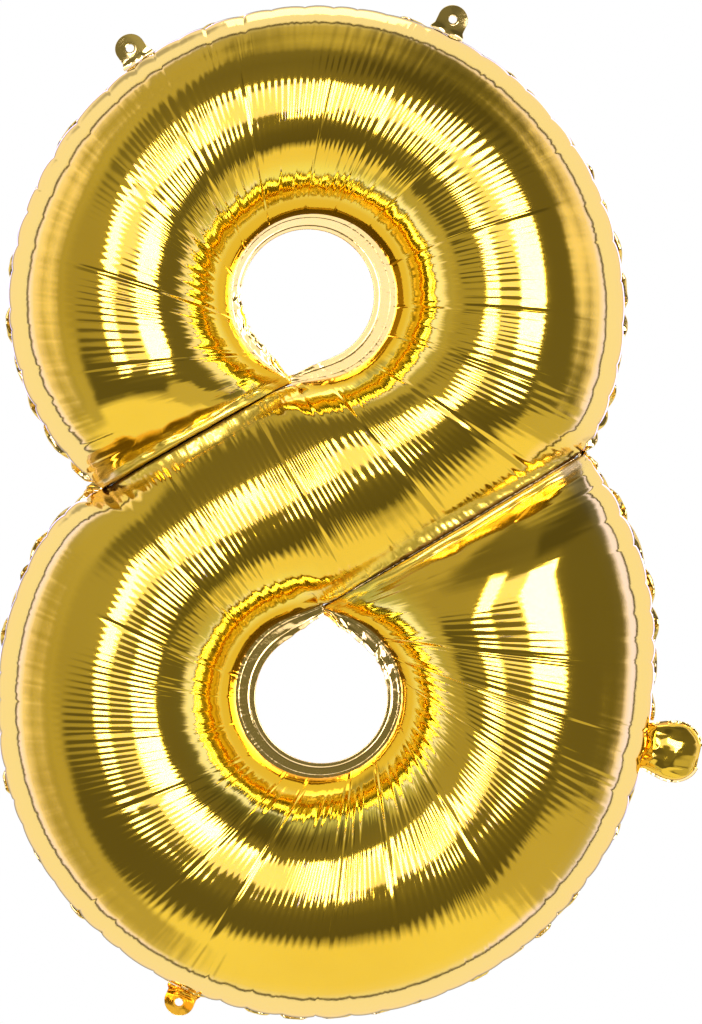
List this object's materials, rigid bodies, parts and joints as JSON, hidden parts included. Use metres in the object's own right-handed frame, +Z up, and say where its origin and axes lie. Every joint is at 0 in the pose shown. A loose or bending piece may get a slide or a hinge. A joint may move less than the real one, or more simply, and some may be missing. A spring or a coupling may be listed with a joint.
{
  "type": "foil number balloon",
  "caption": "Inflated gold foil balloon in the shape of a figure eight, with two holes, welded slits, punched hanging tabs and an inflation neck.",
  "frame": {"origin": "midway between the centres of the punched holes of the two top tabs, in the plane of the welds", "axes": "+Z up along the figure's height, +X to the right as seen from the front, the front film faces -Y"},
  "size_m": [0.6068, 0.1808, 0.8721],
  "materials": {
    "gold_film": "mirror-bright gold metallised nylon film",
    "gold_weld": "two gold films fused together, slightly duller and puckered",
    "valve_film": "clear polyethylene sleeve"
  },
  "bodies": {
    "balloon": {"front_film": "gold_film", "back_film": "gold_film", "outer_seam_flange": "gold_weld", "upper_hole_seam": "gold_weld", "lower_hole_seam": "gold_weld", "upper_slit_seam": "gold_weld", "lower_slit_seam": "gold_weld", "valve_sleeve": "valve_film"},
    "top_left_tab": {"top_left_tab": "gold_weld"},
    "top_right_tab": {"top_right_tab": "gold_weld"},
    "bottom_left_tab": {"bottom_left_tab": "gold_weld"},
    "inflation_neck": {"neck_front_film": "gold_film", "neck_back_film": "gold_film", "neck_upper_seam": "gold_weld", "neck_lower_seam": "gold_weld", "neck_valve_mouth": "valve_film"}
  },
  "joints": [
    {"name": "top_left_tab_fold", "type": "hinge", "parent": "balloon", "child": "top_left_tab", "pos_m": [-0.13101, 0, -0.02395], "axis": [0.8209, 0, 0.5711], "range_deg": [-85, 85]},
    {"name": "top_right_tab_fold", "type": "hinge", "parent": "balloon", "child": "top_right_tab", "pos_m": [0.13319, 0, -0.00028], "axis": [0.9097, 0, -0.4152], "range_deg": [-85, 85]},
    {"name": "bottom_left_tab_fold", "type": "hinge", "parent": "balloon", "child": "bottom_left_tab", "pos_m": [-0.09201, 0, -0.82219], "axis": [-0.9126, 0, 0.4088], "range_deg": [-145, 25]},
    {"name": "neck_fold", "type": "hinge", "parent": "balloon", "child": "inflation_neck", "pos_m": [0.30243, 0, -0.61194], "axis": [-0.2079, 0, -0.9781], "range_deg": [-75, 75]}
  ]
}
